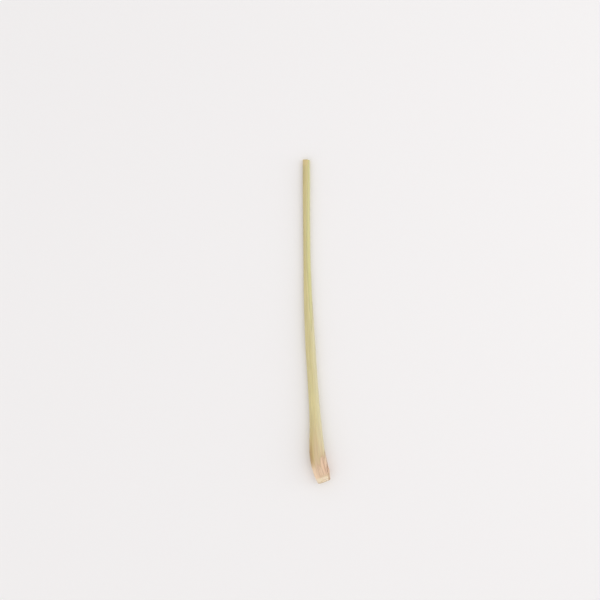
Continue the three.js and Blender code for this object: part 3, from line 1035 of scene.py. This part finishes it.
class LEMONGRASS_OT_outer_sheath(bpy.types.Operator):
    """Make the outer sheath, with its ribs and its thin lip"""

    bl_idname = "lemongrass.outer_sheath"
    bl_label = "Outer Sheath"

    def execute(self, context):
        stalk, finish, _ = settings()
        groups = leaf_groups()
        piece = make_outer_sheath(stalk)
        cut = shared("cut", cut_material)
        dress(piece, "outer_sheath", "outer_sheath", outer_material(finish, *groups), cut)
        return {"FINISHED"}


# Node, slot, start and number of turns, foot, tip, bearing of the slit, columns, rows, share shown.
ROLL = [
    ("second_sheath", "inner_sheath", 0.0, 2.6, 8.5, LENGTH - 0.3, -112, 270, 130, 0.62),
    ("third_sheath", "inner_sheath", 2.68, 2.6, 12.5, LENGTH - 0.1, 104, 150, 60, 0.0),
    ("heart", "heart", 5.36, 3.4, 33.0, LENGTH, -40, 120, 50, 0.0),
]


class LEMONGRASS_OT_inner_leaves(bpy.types.Operator):
    """Make the leaves that are wound up inside: two sheaths and the heart"""

    bl_idname = "lemongrass.inner_leaves"
    bl_label = "Inner Leaves"

    def execute(self, context):
        stalk, finish, _ = settings()
        groups = leaf_groups()
        cut = shared("cut", cut_material)
        for order, (solid, slot, *sizes) in enumerate(ROLL):
            piece = wound(solid + "_fine", stalk, *sizes)
            name = solid.replace("_", " ").capitalize()
            dress(piece, solid, slot, inner_material(name, finish, *groups, 31.0 * order), cut)
        return {"FINISHED"}


class LEMONGRASS_OT_root_end(bpy.types.Operator):
    """Make the culm's root end and the torn remnant of an older sheath"""

    bl_idname = "lemongrass.root_end"
    bl_label = "Root End"

    def execute(self, context):
        stalk, finish, _ = settings()
        dress(make_stem_base(), "stem_base", "culm", culm_material(finish))
        remnant = remnant_material(finish, *leaf_groups())
        dress(make_old_sheath(stalk), "old_sheath", "dry_sheath", remnant, remnant)
        return {"FINISHED"}


VIEW_CENTRE = Vector((-16.66, 21.3, 5.0))  # what the camera looks at, in millimetres
SENSOR = 36.0  # the width of its sensor, in millimetres
# Place and size of each light, in metres.
LIGHTS = {
    "Key": ((0.95, 0.35, 1.5), 1.3),
    "Rim": ((1.6, 0.1, 0.55), 1.0),
    "Fill": ((-1.1, -0.5, 1.2), 1.5),
}
ROOM_COLOUR, FLOOR_COLOUR, FLOOR_SIZE = (1.0, 0.985, 0.985, 1.0), (0.90, 0.89, 0.89, 1.0), 6.0


class LEMONGRASS_OT_stage(bpy.types.Operator):
    """Set up the floor, the camera straight above and soft light"""

    bl_idname = "lemongrass.stage"
    bl_label = "Stage"

    def execute(self, context):
        _, _, stage = settings()
        scene = context.scene
        add_floor()
        add_camera(scene, stage)
        for name, (place, size) in LIGHTS.items():
            add_light(name, place, size, getattr(stage, name.lower() + "_power"))
        world = bpy.data.worlds.new("Room")
        world.use_nodes = True
        background = world.node_tree.nodes["Background"]
        background.inputs["Color"].default_value = ROOM_COLOUR
        background.inputs["Strength"].default_value = stage.room_light
        scene.world = world
        scene.view_settings.view_transform = "Standard"
        return {"FINISHED"}


def add_floor():
    bm = bmesh.new()
    bmesh.ops.create_grid(bm, x_segments=1, y_segments=1, size=FLOOR_SIZE)
    floor = finished("Floor", bm)
    material, _, shader = new_material("Floor", 0.8, 0.2, 0.0)
    shader.inputs["Base Color"].default_value = FLOOR_COLOUR
    floor.data.materials.append(material)


def add_camera(scene, stage):
    camera = bpy.data.objects.new("Camera", bpy.data.cameras.new("Camera"))
    scene.collection.objects.link(camera)
    camera.data.lens = stage.lens
    camera.data.sensor_width = SENSOR
    camera.data.clip_start = 0.01
    distance = stage.lens / SENSOR * stage.field
    camera.location = VIEW_CENTRE * MM + Vector((0.0, 0.0, distance))
    scene.camera = camera


def add_light(name, place, size, power):
    lamp = bpy.data.lights.new(name, "AREA")
    lamp.size = size
    lamp.energy = power
    light = bpy.data.objects.new(name, lamp)
    bpy.context.scene.collection.objects.link(light)
    light.location = place
    light.rotation_euler = (-Vector(place)).to_track_quat("-Z", "Y").to_euler()


class LEMONGRASS_PT_panel(bpy.types.Panel):
    """The stalk's operators and settings"""

    bl_label = "Lemongrass Stalk"
    bl_idname = "LEMONGRASS_PT_panel"
    bl_space_type = "VIEW_3D"
    bl_region_type = "UI"
    bl_category = "Lemongrass"

    def draw(self, context):
        for operator in OPERATORS:
            self.layout.operator(operator.bl_idname)
        for group in settings():
            box = self.layout.box()
            for name in type(group).__annotations__:
                box.prop(group, name)


OPERATORS = (
    LEMONGRASS_OT_stage,
    LEMONGRASS_OT_root_end,
    LEMONGRASS_OT_outer_sheath,
    LEMONGRASS_OT_inner_leaves,
)
GROUPS = {
    "lemongrass_stalk": StalkSettings,
    "lemongrass_finish": FinishSettings,
    "lemongrass_stage": StageSettings,
}


def register():
    for cls in (*GROUPS.values(), *OPERATORS, LEMONGRASS_PT_panel):
        bpy.utils.register_class(cls)
    for name, cls in GROUPS.items():
        setattr(bpy.types.Scene, name, PointerProperty(type=cls))


def unregister():
    for name in GROUPS:
        delattr(bpy.types.Scene, name)
    for cls in reversed((*GROUPS.values(), *OPERATORS, LEMONGRASS_PT_panel)):
        bpy.utils.unregister_class(cls)


def main():
    register()
    bpy.ops.lemongrass.stage()
    bpy.ops.lemongrass.root_end()
    bpy.ops.lemongrass.outer_sheath()
    bpy.ops.lemongrass.inner_leaves()


if __name__ == "__main__":
    main()
